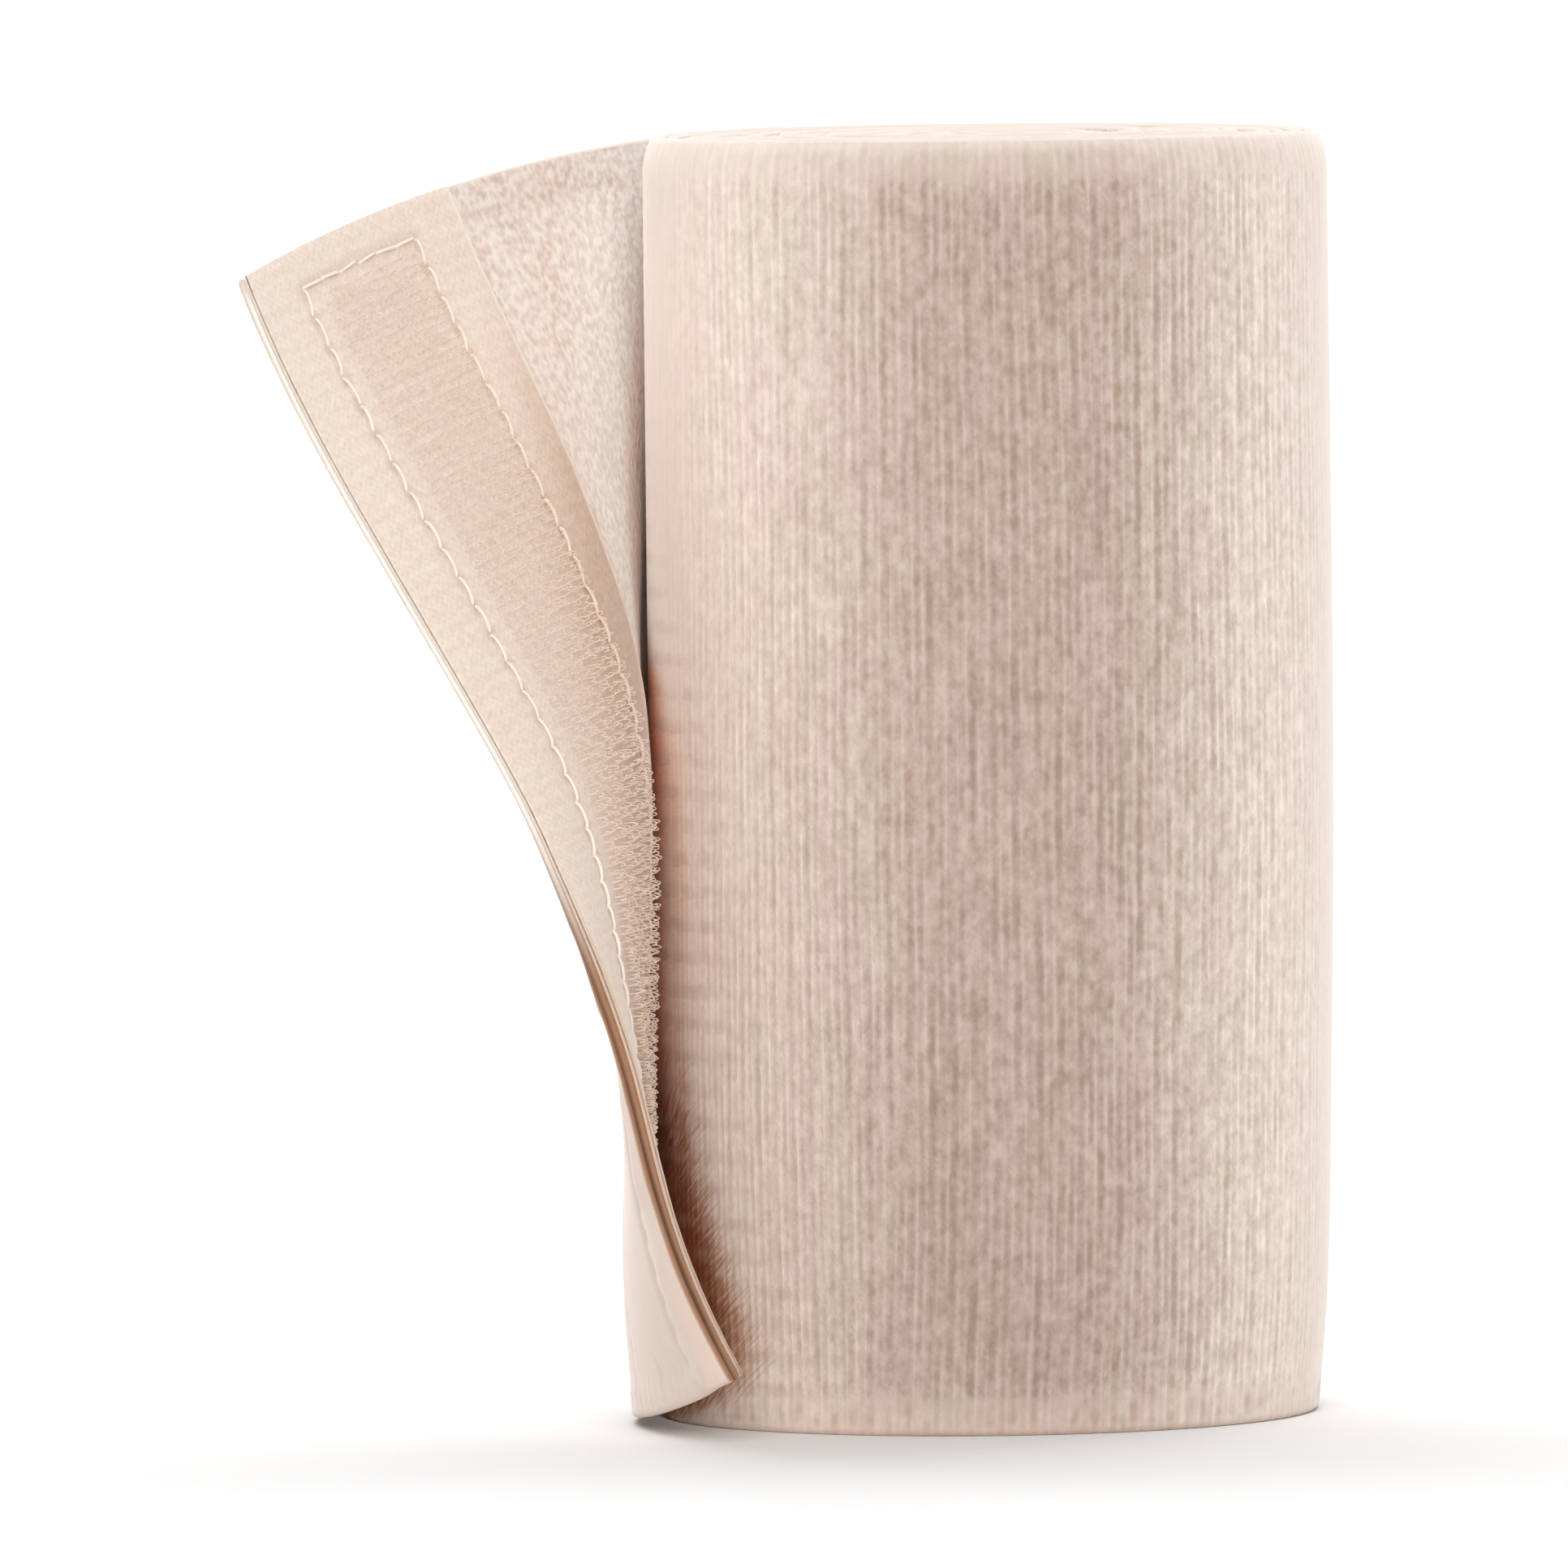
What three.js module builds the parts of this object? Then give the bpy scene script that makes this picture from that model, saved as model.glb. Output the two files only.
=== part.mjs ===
// A rolled elastic bandage that stands on one end, with its free end peeled open and a hook tape on it.
// The roll's axis is the Z axis and its lower end lies on Z = 0. The free end opens towards -X and -Y.
// Lengths are in millimetres and angles in degrees, counterclockwise from +X seen from above.
import * as THREE from "three";

// Driving dimensions
const bandageWidth = 101.6; // a 4 inch bandage, which is also the height of the roll
const fabricThickness = 1.0; // knitted fabric, relaxed
const turnGap = 0.3; // air between two turns
const rollRadius = 27.9; // outside of the last turn, at its end
const coreHole = 0.8; // left open by the innermost curl
const looseStart = 110; // where the last turn ends and the loose end begins, at the back of the roll
const looseSide = 180; // the side of the roll on which the loose end opens
const flapLength = 36.2; // fabric beyond that side, up to the free end
const tapeWidth = 25.4; // a 1 inch hook tape, across the free end
const tapeThickness = 0.6; // its backing, without the hooks
const pieceGap = 0.3; // clearance between two pieces
const sagPower = 1.8; // how late along the loose end its rise or sag sets in

// How finely the fabric is divided
const segmentsPerTurn = 36;
const tuckSegments = 8;
const looseSegments = 18;
const tapeSegments = 11;
const profileRows = 10;
const looseRows = 16;

// The roll's outline from the side. Girth is the share of the full radius at that height, and lean shifts the
// turns along X by that share of the roll's radius.
const outline = [
  { height: 0.0, girth: 0.96, lean: -0.024 },
  { height: 0.1, girth: 0.98, lean: -0.013 },
  { height: 0.3, girth: 0.994, lean: -0.006 },
  { height: 0.5, girth: 1.0, lean: 0.0 },
  { height: 1.0, girth: 0.998, lean: 0.0 },
];

// How the loose end peels open. At each height the fabric leaves the roll at the angle "leaves", then bends by
// "turn" on its way to the free end, which lies higher by "rise" than the flat fabric would, as a share of its width.
const peel = [
  { height: 0.0, leaves: 149, turn: 69, rise: 0.052 },
  { height: 0.25, leaves: 182, turn: -7, rise: 0.032 },
  { height: 0.5, leaves: 190, turn: -50, rise: -0.038 },
  { height: 0.75, leaves: 165, turn: -26, rise: -0.076 },
  { height: 1.0, leaves: 128, turn: 18, rise: -0.102 },
];

// Sizes that follow from these
const pitch = fabricThickness + turnGap;
const lastRadius = rollRadius - fabricThickness / 2;
const coreRadius = coreHole + fabricThickness;
const tuckLength = (coreRadius - fabricThickness / 2) / 2;
const turns = (lastRadius - coreRadius) / pitch;
const radians = THREE.MathUtils.degToRad;
const woundEnd = radians(looseStart);
const woundStart = woundEnd - turns * 2 * Math.PI;
const looseLength = flapLength + radians(looseSide - looseStart) * lastRadius;
const tapeStart = looseLength - tapeWidth;

// Smooth curves through a table's columns, read by height.
function readTable(rows) {
  const columns = Object.keys(rows[0]).filter((name) => name !== "height");
  const heights = rows.map((row) => row.height);
  const curves = columns.map((name) => new THREE.CubicInterpolant(heights, rows.map((row) => row[name]), 1));
  return (height) => Object.fromEntries(columns.map((name, i) => [name, curves[i].evaluate(height)[0]]));
}
const outlineAt = readTable(outline);
const peelAt = readTable(peel);

// A point on the middle of the fabric where it lies on the roll, at an angle in radians that counts every turn.
function woundPoint(angle, height) {
  const { girth, lean } = outlineAt(height);
  const radius = girth * (lastRadius - ((woundEnd - angle) / (2 * Math.PI)) * pitch);
  const shift = (lean * rollRadius * radius) / lastRadius;
  return new THREE.Vector3(radius * Math.cos(angle) + shift, radius * Math.sin(angle), height * bandageWidth);
}

// A point on the middle of the loose end, at a distance along the fabric from the back of the roll.
function loosePoint(distance, height) {
  const { leaves, turn, rise } = peelAt(height);
  const leaveAngle = radians(leaves);
  const hugging = (leaveAngle - woundEnd) * lastRadius;
  if (distance <= hugging) return woundPoint(woundEnd + distance / lastRadius, height);
  const free = looseLength - hugging;
  const along = distance - hugging;
  const heading = leaveAngle + Math.PI / 2;
  const bend = radians(turn) / free;
  const point = woundPoint(leaveAngle, height);
  const half = (bend * along) / 2;
  const chord = Math.abs(half) < 1e-6 ? along : (along * Math.sin(half)) / half;
  point.x += chord * Math.cos(heading + half);
  point.y += chord * Math.sin(heading + half);
  point.z += rise * bandageWidth * (along / free) ** sagPower;
  return point;
}

// The direction out of the fabric's outer face, square to the surface that pointAt describes.
function outward(pointAt, place, height, level) {
  const step = 1e-3;
  const across = pointAt(place + step, height).sub(pointAt(place - step, height));
  const low = Math.max(height - step, 0);
  const high = Math.min(height + step, 1);
  const up = pointAt(place, high).sub(pointAt(place, low));
  const normal = across.cross(up);
  normal.z *= level;
  return normal.normalize();
}

// One upright line of points on the outer and the inner face. From and to are distances out of the middle, and
// level is the share of the surface's tilt that the wall's thickness follows.
function column(pointAt, place, heights, { from, to, level }) {
  const side = (offset) =>
    heights.map((height) => {
      const normal = outward(pointAt, place, height, level);
      return pointAt(place, height).addScaledVector(normal, offset);
    });
  return { outer: side(to), inner: side(from) };
}

// Evenly spaced shares from low to high, both ends included.
function shares(count, low = 0, high = 1) {
  return Array.from({ length: count + 1 }, (_, i) => low + ((high - low) * i) / count);
}

// Fills the strip between two upright lines of points with triangles. The lines may differ in their number of points.
function zip(faces, left, right) {
  let i = 0;
  let j = 0;
  while (i < left.length - 1 || j < right.length - 1) {
    if ((i + 1) / (left.length - 1) <= (j + 1) / (right.length - 1)) {
      faces.push(left[i], right[j], left[i + 1]);
      i += 1;
    } else {
      faces.push(left[i], right[j], right[j + 1]);
      j += 1;
    }
  }
}

// A closed solid between the outer and inner points of a row of columns, given in the order of the winding.
function solidFromColumns(columns) {
  const positions = [];
  const faces = [];
  const number = (point) => positions.push(...point.toArray()) / 3 - 1;
  const numbered = columns.map(({ outer, inner }) => ({ outer: outer.map(number), inner: inner.map(number) }));
  for (let k = 0; k + 1 < numbered.length; k++) {
    const here = numbered[k];
    const next = numbered[k + 1];
    zip(faces, here.outer, next.outer);
    zip(faces, next.inner, here.inner);
    zip(faces, [here.inner[0], here.outer[0]], [next.inner[0], next.outer[0]]);
    zip(faces, [here.outer.at(-1), here.inner.at(-1)], [next.outer.at(-1), next.inner.at(-1)]);
  }
  zip(faces, numbered[0].inner, numbered[0].outer);
  zip(faces, numbered.at(-1).outer, numbered.at(-1).inner);
  const geometry = new THREE.BufferGeometry();
  geometry.setAttribute("position", new THREE.Float32BufferAttribute(positions, 3));
  geometry.setIndex(faces);
  geometry.computeVertexNormals();
  return geometry;
}

const wholeWall = { from: -fabricThickness / 2, to: fabricThickness / 2 };

// The inner end of the fabric: a tuck through the axis and a half circle out to the first turn.
function tuckPoint(distance, height) {
  const { girth } = outlineAt(height);
  const curl = coreRadius / 2;
  const start = new THREE.Vector2(Math.cos(woundStart), Math.sin(woundStart));
  const aside = new THREE.Vector2(-start.y, start.x);
  const flat = new THREE.Vector2();
  if (distance < tuckLength) {
    flat.addScaledVector(aside, tuckLength - distance);
  } else {
    const angle = Math.PI + (distance - tuckLength) / curl;
    flat.addScaledVector(start, curl + curl * Math.cos(angle)).addScaledVector(aside, curl * Math.sin(angle));
  }
  return new THREE.Vector3(flat.x * girth, flat.y * girth, height * bandageWidth);
}

// All turns of the roll as one strip. The turns inside are straight, and the outer one has the roll's outline.
function woundTurns() {
  const wall = { ...wholeWall, level: 0 };
  const straight = [0, 1];
  const profiled = shares(profileRows);
  const curlLength = (Math.PI * coreRadius) / 2;
  const tuckPlaces = [0, ...shares(tuckSegments, tuckLength, tuckLength + curlLength).slice(0, -1)];
  const step = (2 * Math.PI) / segmentsPerTurn;
  const count = Math.floor(turns * segmentsPerTurn);
  const angles = shares(count, woundEnd - count * step, woundEnd);
  const outerFrom = woundEnd - 2 * Math.PI;
  return solidFromColumns([
    ...tuckPlaces.map((place) => column(tuckPoint, place, straight, wall)),
    ...[woundStart, ...angles.slice(1)].map((angle) =>
      column(woundPoint, angle, angle < outerFrom - step / 2 ? straight : profiled, wall),
    ),
  ]);
}

// Columns of a wall that follows the loose end, at the given places along it.
function looseColumns(places, wall) {
  const heights = shares(looseRows);
  return places.map((place) => column(loosePoint, place, heights, { ...wall, level: place / looseLength }));
}
const tapePlaces = shares(tapeSegments, tapeStart, looseLength);

// The free stretch of the same fabric, from the back of the roll to its cut end.
function looseEnd() {
  const places = [...shares(looseSegments, pieceGap, tapeStart), ...tapePlaces.slice(1)];
  return solidFromColumns(looseColumns(places, wholeWall));
}

// The backing of the hook tape, sewn across the inner face of the free end.
function hookTape() {
  const back = wholeWall.from - pieceGap;
  return solidFromColumns(looseColumns(tapePlaces, { from: back - tapeThickness, to: back }));
}

const knittedFabric = new THREE.MeshStandardMaterial({ color: "#e2cfc1", roughness: 0.95, metalness: 0 });
const hookNylon = new THREE.MeshStandardMaterial({ color: "#dfc5b0", roughness: 0.8, metalness: 0 });

function piece(name, geometry, material) {
  const mesh = new THREE.Mesh(geometry, material);
  mesh.name = name;
  return mesh;
}

const bandage = new THREE.Group();
bandage.add(
  piece("wound_turns", woundTurns(), knittedFabric),
  piece("loose_end", looseEnd(), knittedFabric),
  piece("hook_tape", hookTape(), hookNylon),
);

export default bandage;
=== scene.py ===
"""A rolled elastic bandage that stands on one end, its free end peeled open, with a hook tape sewn across it.

Lengths are in millimetres until a mesh is made. A place on the strip has two numbers. "along" runs with the
fabric: it is 0 where the last whole turn ends at the back of the roll and grows towards the free end. "level"
runs across the fabric, from 0 at the end on the floor, and "height" is the same as a share of the width.
"""
import math
from types import SimpleNamespace

import bpy
import numpy as np
from mathutils import Matrix, Vector
from mathutils.kdtree import KDTree


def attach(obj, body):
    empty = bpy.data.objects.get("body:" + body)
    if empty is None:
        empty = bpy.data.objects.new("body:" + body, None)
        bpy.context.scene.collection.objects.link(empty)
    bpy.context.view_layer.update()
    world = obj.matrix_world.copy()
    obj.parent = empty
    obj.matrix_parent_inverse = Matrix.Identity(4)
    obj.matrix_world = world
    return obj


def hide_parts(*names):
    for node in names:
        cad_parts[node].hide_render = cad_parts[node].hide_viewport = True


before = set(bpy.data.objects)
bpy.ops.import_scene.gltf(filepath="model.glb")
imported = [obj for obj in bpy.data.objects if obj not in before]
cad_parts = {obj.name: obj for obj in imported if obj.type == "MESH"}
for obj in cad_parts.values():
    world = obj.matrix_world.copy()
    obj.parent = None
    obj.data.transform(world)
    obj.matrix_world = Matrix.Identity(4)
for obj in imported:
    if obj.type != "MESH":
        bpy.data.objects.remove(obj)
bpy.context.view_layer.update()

# The real object's sizes
WIDTH = 101.6
THICKNESS = 1.0
TURN_GAP = 0.3
ROLL_RADIUS = 27.9
CORE_HOLE = 0.8
LOOSE_START = 110
LOOSE_SIDE = 180
FLAP_LENGTH = 36.2
TAPE_WIDTH = 25.4
SAG_POWER = 1.8

HALF = THICKNESS / 2
PITCH = THICKNESS + TURN_GAP
LAST_RADIUS = ROLL_RADIUS - HALF
CORE_RADIUS = CORE_HOLE + THICKNESS
TUCK_LENGTH = (CORE_RADIUS - HALF) / 2
TURNS = (LAST_RADIUS - CORE_RADIUS) / PITCH
WOUND_END = math.radians(LOOSE_START)
LOOSE_LENGTH = FLAP_LENGTH + math.radians(LOOSE_SIDE - LOOSE_START) * LAST_RADIUS
TAPE_START = LOOSE_LENGTH - TAPE_WIDTH

# The roll's outline from the side, as shares of its radius, and how the loose end peels open.
OUTLINE = {
    "height": (0.0, 0.1, 0.3, 0.5, 1.0),
    "girth": (0.96, 0.98, 0.994, 1.0, 0.998),
    "lean": (-0.024, -0.013, -0.006, 0.0, 0.0),
}
PEEL = {
    "height": (0.0, 0.25, 0.5, 0.75, 1.0),
    "leaves": (149, 182, 190, 165, 128),
    "turn": (69, -7, -50, -26, 18),
    "rise": (0.052, 0.032, -0.038, -0.076, -0.102),
}


def read(table, column, height):
    """A smooth curve through one column of a table, read at many heights at once."""
    knots, values = table["height"], table[column]
    result = np.zeros_like(height, dtype=float)
    for i in range(len(knots) - 1):
        low, high = knots[i], knots[i + 1]
        here = (height >= low) & (height <= high if i == len(knots) - 2 else height < high)
        share = (height[here] - low) / (high - low)
        before, before_at = (values[i - 1], knots[i - 1]) if i else (values[1], high)
        after, after_at = (values[i + 2], knots[i + 2]) if i + 2 < len(knots) else (values[i], low)
        back = (high - low) / 2 / (low - before_at)
        ahead = (high - low) / 2 / (after_at - high)
        square, cube = share**2, share**3
        result[here] = (
            (-back * cube + 2 * back * square - back * share) * before
            + ((1 + back) * cube + (-1.5 - 2 * back) * square + (back - 0.5) * share + 1) * values[i]
            + ((-1 - ahead) * cube + (1.5 + ahead) * square + 0.5 * share) * values[i + 1]
            + (ahead * cube - ahead * square) * after
        )
    return result


def noise(x, y, seed):
    """Smooth noise from -1 to 1 with features one unit apart, the same at every run."""
    lattice = np.random.default_rng(seed).uniform(-1, 1, (256, 256))
    left, low = np.floor(x).astype(int), np.floor(y).astype(int)
    fx, fy = x - left, y - low
    fx, fy = fx * fx * (3 - 2 * fx), fy * fy * (3 - 2 * fy)
    at = lambda i, j: lattice[(left + i) % 256, (low + j) % 256]
    return (at(0, 0) * (1 - fx) + at(1, 0) * fx) * (1 - fy) + (at(0, 1) * (1 - fx) + at(1, 1) * fx) * fy


def bump_at(x, centre, spread):
    """A soft bump of height 1 round a place."""
    return np.exp(-(((x - centre) / spread) ** 2))


def eased(x, low, high):
    """Goes smoothly from 0 at low to 1 at high."""
    share = np.clip((x - low) / (high - low), 0, 1)
    return share * share * (3 - 2 * share)


# The middle surface of the strip


def turned_back(along):
    """The angle that the winding has gone back from its end, for a place on the roll."""
    reach = np.minimum(-np.minimum(along, 0), WOUND_LENGTH)
    radius = np.sqrt(np.maximum(LAST_RADIUS**2 - PITCH * reach / math.pi, 0))
    return (LAST_RADIUS - radius) * 2 * math.pi / PITCH


FULL_TURN = TURNS * 2 * math.pi
WOUND_LENGTH = LAST_RADIUS * FULL_TURN - PITCH * FULL_TURN**2 / (4 * math.pi)
CURL_LENGTH = math.pi * CORE_RADIUS / 2
INNER_END = -WOUND_LENGTH - CURL_LENGTH - TUCK_LENGTH


def wound(angle, height):
    """A point on the roll, at an angle that counts every turn. The turns lean in a little at the top edge."""
    girth, lean = read(OUTLINE, "girth", height), read(OUTLINE, "lean", height)
    leans_in = np.exp(-(((1 - height) * WIDTH / 1.4) ** 2)) * np.clip(1 - (angle - WOUND_END) / 0.3, 0, 1)
    girth = girth * (1 - 0.024 * leans_in)
    radius = girth * (LAST_RADIUS - (WOUND_END - angle) / (2 * math.pi) * PITCH)
    shift = lean * ROLL_RADIUS * radius / LAST_RADIUS
    return np.stack([radius * np.cos(angle) + shift, radius * np.sin(angle), height * WIDTH], -1)


def tucked(along, height):
    """A point on the innermost curl, which ends in a tuck through the roll's axis."""
    girth = read(OUTLINE, "girth", height)
    start = WOUND_END - FULL_TURN
    curl = CORE_RADIUS / 2
    distance = along - INNER_END
    straight = np.maximum(TUCK_LENGTH - distance, 0)
    bend = math.pi + np.maximum(distance - TUCK_LENGTH, 0) / curl
    out = curl + curl * np.cos(bend)
    aside = straight + curl * np.sin(bend)
    x = out * math.cos(start) - aside * math.sin(start)
    y = out * math.sin(start) + aside * math.cos(start)
    return np.stack([x * girth, y * girth, height * WIDTH], -1)


def peeled(along, height):
    """A point on the loose end."""
    leaves = np.radians(read(PEEL, "leaves", height))
    hugging = (leaves - WOUND_END) * LAST_RADIUS
    free = LOOSE_LENGTH - hugging
    beyond = np.maximum(along - hugging, 0)
    half = np.radians(read(PEEL, "turn", height)) / free * beyond / 2
    chord = beyond * np.sinc(half / math.pi)
    heading = leaves + math.pi / 2 + half
    angle = np.where(along < hugging, WOUND_END + along / LAST_RADIUS, leaves)
    point = wound(angle, height)
    sets_in = SAG_POWER + 1.4 * bump_at(height, 0, 0.15)
    rise = read(PEEL, "rise", height) * WIDTH * (beyond / free) ** sets_in
    # The cloth bellies out a little at middle height and lies closer at the foot.
    belly = 1.3 * bump_at(height, 0.37, 0.2) - 1.2 * bump_at(height, 0, 0.12)
    belly = belly * eased(along - hugging, -14, 4) * eased(LOOSE_LENGTH - along, 1, 9)
    runs = np.where(along < hugging, angle + math.pi / 2, heading + half)
    x = chord * np.cos(heading) + belly * np.sin(runs)
    y = chord * np.sin(heading) - belly * np.cos(runs)
    return point + np.stack([x, y, rise], -1)


def middle(along, height):
    """A point on the middle of the fabric, at any place along the strip."""
    along, height = np.broadcast_arrays(along.astype(float), height.astype(float))
    loose = along > 0
    inner = along < -WOUND_LENGTH
    turns = ~loose & ~inner
    at = np.zeros(along.shape + (3,))
    at[loose] = peeled(along[loose], height[loose])
    at[turns] = wound(WOUND_END - turned_back(along[turns]), height[turns])
    at[inner] = tucked(along[inner], height[inner])
    return at


def outward(along, height):
    """The direction out of the fabric's outer face."""
    step = 0.02
    across = middle(along + step, height) - middle(along - step, height)
    low, high = np.maximum(height - step / WIDTH, 0), np.minimum(height + step / WIDTH, 1)
    up = middle(along, high) - middle(along, low)
    normal = np.cross(across, up)
    normal[..., 2] *= np.clip(along / LOOSE_LENGTH, 0, 1)
    return normal / np.linalg.norm(normal, axis=-1, keepdims=True)


def offset(along, level, out):
    """A point at a distance out of the middle. Level is the height in millimetres."""
    height = np.clip(level / WIDTH, 0, 1)
    point = middle(along, height) + outward(along, height) * out[..., None]
    point[..., 2] += level - height * WIDTH
    return point


# The knit's relief

RIB = 1.68
FINE_RIB = 0.84
COURSE = 1.3
SELVEDGE = 3.1
STITCH = 2.5
STITCH_ROWS = (5.4, 19.6)
STITCH_MARGIN = 3.2
# Where the fabric was wound with least pull; the band of painted shade on the roll's front is centred here
# too.
LEAST_PULL_AND_PAINTED_SHADE = -92.2


def shrunk_back(along):
    """1 where the fabric was wound with least pull and shrank back most, 0 where it is still stretched."""
    return bump_at(along, LEAST_PULL_AND_PAINTED_SHADE, 17)


def rib_place(along, level):
    """Counts the ribs along the strip. Whole numbers are the grooves between them, which sway a little."""
    sway = 0.28 * noise(along / 9, level / 24, 1) + 0.07 * noise(along / 2.3, level / 5, 2)
    return (along + sway) / RIB


def groove_depth(place, level):
    """How deep the nearest groove is at a level, from nearly closed to fully open."""
    number = np.round(place)
    uneven = 0.4 * noise(number * 1.37, level / 8, 5) + 0.3 * noise(number * 1.37, level / 2.6, 9)
    return np.clip(0.55 + uneven, 0.05, 1.1)


def ribs(along, level):
    """Ribs across the strip: long uneven grooves between them, where the stretched fabric has shrunk back."""
    place = rib_place(along, level)
    grooves = -0.1 * groove_depth(place, level) * bump_at((place - np.round(place)) * RIB, 0, 0.3)
    halfway = place + 0.5
    between = -0.04 * bump_at((halfway - np.round(halfway)) * RIB, 0, 0.24)
    streak = 0.02 * noise(place * RIB / 0.7, level / 9, 3)
    swell = 0.02 * noise(along / 4, level / 12, 6)
    return (grooves + between + streak + swell) * (0.25 + 0.65 * shrunk_back(along))


def selvedge(level):
    """1 within the firm band along either edge of the strip, 0 on the knit between them."""
    return 1 / (1 + np.exp((np.minimum(level, WIDTH - level) - SELVEDGE) / 0.2))


def relief(along, level):
    """How far the fabric's outer face stands out at a place."""
    depth = np.minimum(level, WIDTH - level)
    sway = 0.15 * noise(along / 4, level / 9, 7)
    fine = 0.03 * np.cos(2 * math.pi * (along + sway) / (2 * FINE_RIB))
    firm = np.where(level > WIDTH / 2, 0.35, 1.0)
    loops = (0.5 + 0.5 * np.cos(2 * math.pi * along / COURSE)) ** 2
    dimple = -0.11 * firm * bump_at(depth, 1.7, 0.45) * loops
    groove = -0.06 * bump_at(depth, SELVEDGE, 0.3)
    within = selvedge(level)
    settle = np.clip(depth / 1.0, 0, 1)
    return (ribs(along, level) * (1 - 0.85 * within) + (fine + dimple) * within) * settle + groove


def reverse_relief(along, level):
    """The inner face is looser and flatter than the outer one."""
    return 0.45 * ribs(along + 400, level) + 0.05 * noise(along / 1.3, level / 1.6, 31)


def puckers(along, level):
    """How far the stitch rows pull the cloth in: most where the thread goes through it."""
    end = LOOSE_LENGTH - along
    through = 0.6 + 0.4 * np.cos(2 * math.pi * (level - STITCH_MARGIN) / STITCH)
    inside = (level > STITCH_MARGIN - 0.6) & (level < WIDTH - STITCH_MARGIN + 0.6)
    rows = sum(bump_at(end, row, 0.75) for row in STITCH_ROWS) * through * inside
    depth = np.minimum(level, WIDTH - level)
    between = (end > STITCH_ROWS[0]) & (end < STITCH_ROWS[1])
    return np.maximum(rows, 0.8 * bump_at(depth, STITCH_MARGIN, 0.7) * between)


# Meshes


ROUND = 0.42
SEWN_TAPE = 0.52


def section(outer_rows, inner_rows, rounding):
    """One loop round the strip's section: its levels, and where each point lies across the thickness.

    The share is 1 on the outer face and -1 on the inner one. The loop runs up the outer face, over the top
    edge, down the inner face and under the lower edge.
    """
    outer = np.linspace(rounding, WIDTH - rounding, outer_rows)
    inner = np.linspace(WIDTH - rounding, rounding, inner_rows)
    turn = np.radians((30, 60, 90, 120, 150))
    bulge = rounding * np.sin(turn) - rounding
    level = np.concatenate([outer, WIDTH + bulge, inner, -bulge])
    share = np.concatenate([np.ones(outer_rows), np.cos(turn), -np.ones(inner_rows), -np.cos(turn)])
    return level, share


def bridge(lower, upper):
    """Faces between two rows of points that may differ in number, all turned from the lower to the upper."""
    faces = []
    i = j = 0
    while i < len(lower) - 1 or j < len(upper) - 1:
        if (i + 1) * (len(upper) - 1) <= (j + 1) * (len(lower) - 1):
            faces.append((lower[i], upper[j], lower[i + 1]))
            i += 1
        else:
            faces.append((lower[i], upper[j], upper[j + 1]))
            j += 1
    return faces


def tube_faces(columns, around, start=0):
    """Quads between loops of points, one loop for each column."""
    column, place = np.meshgrid(np.arange(columns - 1), np.arange(around), indexing="ij")
    after = (place + 1) % around
    here, there = start + column * around, start + (column + 1) * around
    return np.stack([here + place, there + place, there + after, here + after], -1).reshape(-1, 4).tolist()


def cap_faces(start, around, outer_rows, first):
    """Faces across the thickness at an end of the strip: the first end is the one where the columns begin."""
    outer = list(range(start, start + outer_rows))
    inner = list(range(start + around - 1, start + outer_rows - 1, -1))
    return bridge(outer, inner) if first else bridge(inner, outer)


def cloth(name, points, faces, strip, rise, near):
    """A mesh object with what the materials read.

    "strip" is the place on the strip in millimetres, and "rise" the relief there. "knit" holds the count of
    the ribs, the depth of the nearest groove, and the depth in the fold's shade on the roll, or elsewhere how
    near the roll is.
    """
    mesh = bpy.data.meshes.new(name)
    mesh.from_pydata((points.reshape(-1, 3) / 1000).tolist(), [], faces)
    along, level = strip.reshape(-1, 3)[:, 0], strip.reshape(-1, 3)[:, 1]
    place = rib_place(along, level)
    knit = np.stack([place, groove_depth(place, level), near.ravel()], -1)
    for label, kind, key, values in (
        ("strip", "FLOAT_VECTOR", "vector", strip),
        ("rise", "FLOAT", "value", rise),
        ("knit", "FLOAT_VECTOR", "vector", knit),
    ):
        field = mesh.attributes.new(label, kind, "POINT")
        field.data.foreach_set(key, values.astype(np.float32).ravel())
    mesh.polygons.foreach_set("use_smooth", np.ones(len(mesh.polygons), bool))
    mesh.update()
    piece = bpy.data.objects.new(name, mesh)
    bpy.context.scene.collection.objects.link(piece)
    return piece


def give_reverse(piece, strip, face_material, reverse_material):
    """The face's material on the outer side and the edges, the reverse's on the inner side."""
    mesh = piece.data
    mesh.materials.append(face_material)
    mesh.materials.append(reverse_material)
    side = strip.reshape(-1, 3)[:, 2]
    corners = np.zeros(len(mesh.loops), np.int32)
    mesh.loops.foreach_get("vertex_index", corners)
    starts = np.zeros(len(mesh.polygons), np.int32)
    mesh.polygons.foreach_get("loop_start", starts)
    highest = np.maximum.reduceat(side[corners], starts)
    mesh.polygons.foreach_set("material_index", (highest < -0.4).astype(np.int32))


def telescope(along, level):
    """The turns stand a little higher or lower than each other at the top of the roll."""
    turn = turned_back(along) / (2 * math.pi)
    ragged = 0.28 * noise(turn * 1.7 + 9, np.zeros_like(turn), 11) + 0.12 * noise(along / 6, turn, 12)
    return (ragged - 0.15) * np.clip(turn - 0.9, 0, 1) * np.clip(level / WIDTH, 0, 1) ** 3


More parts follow.
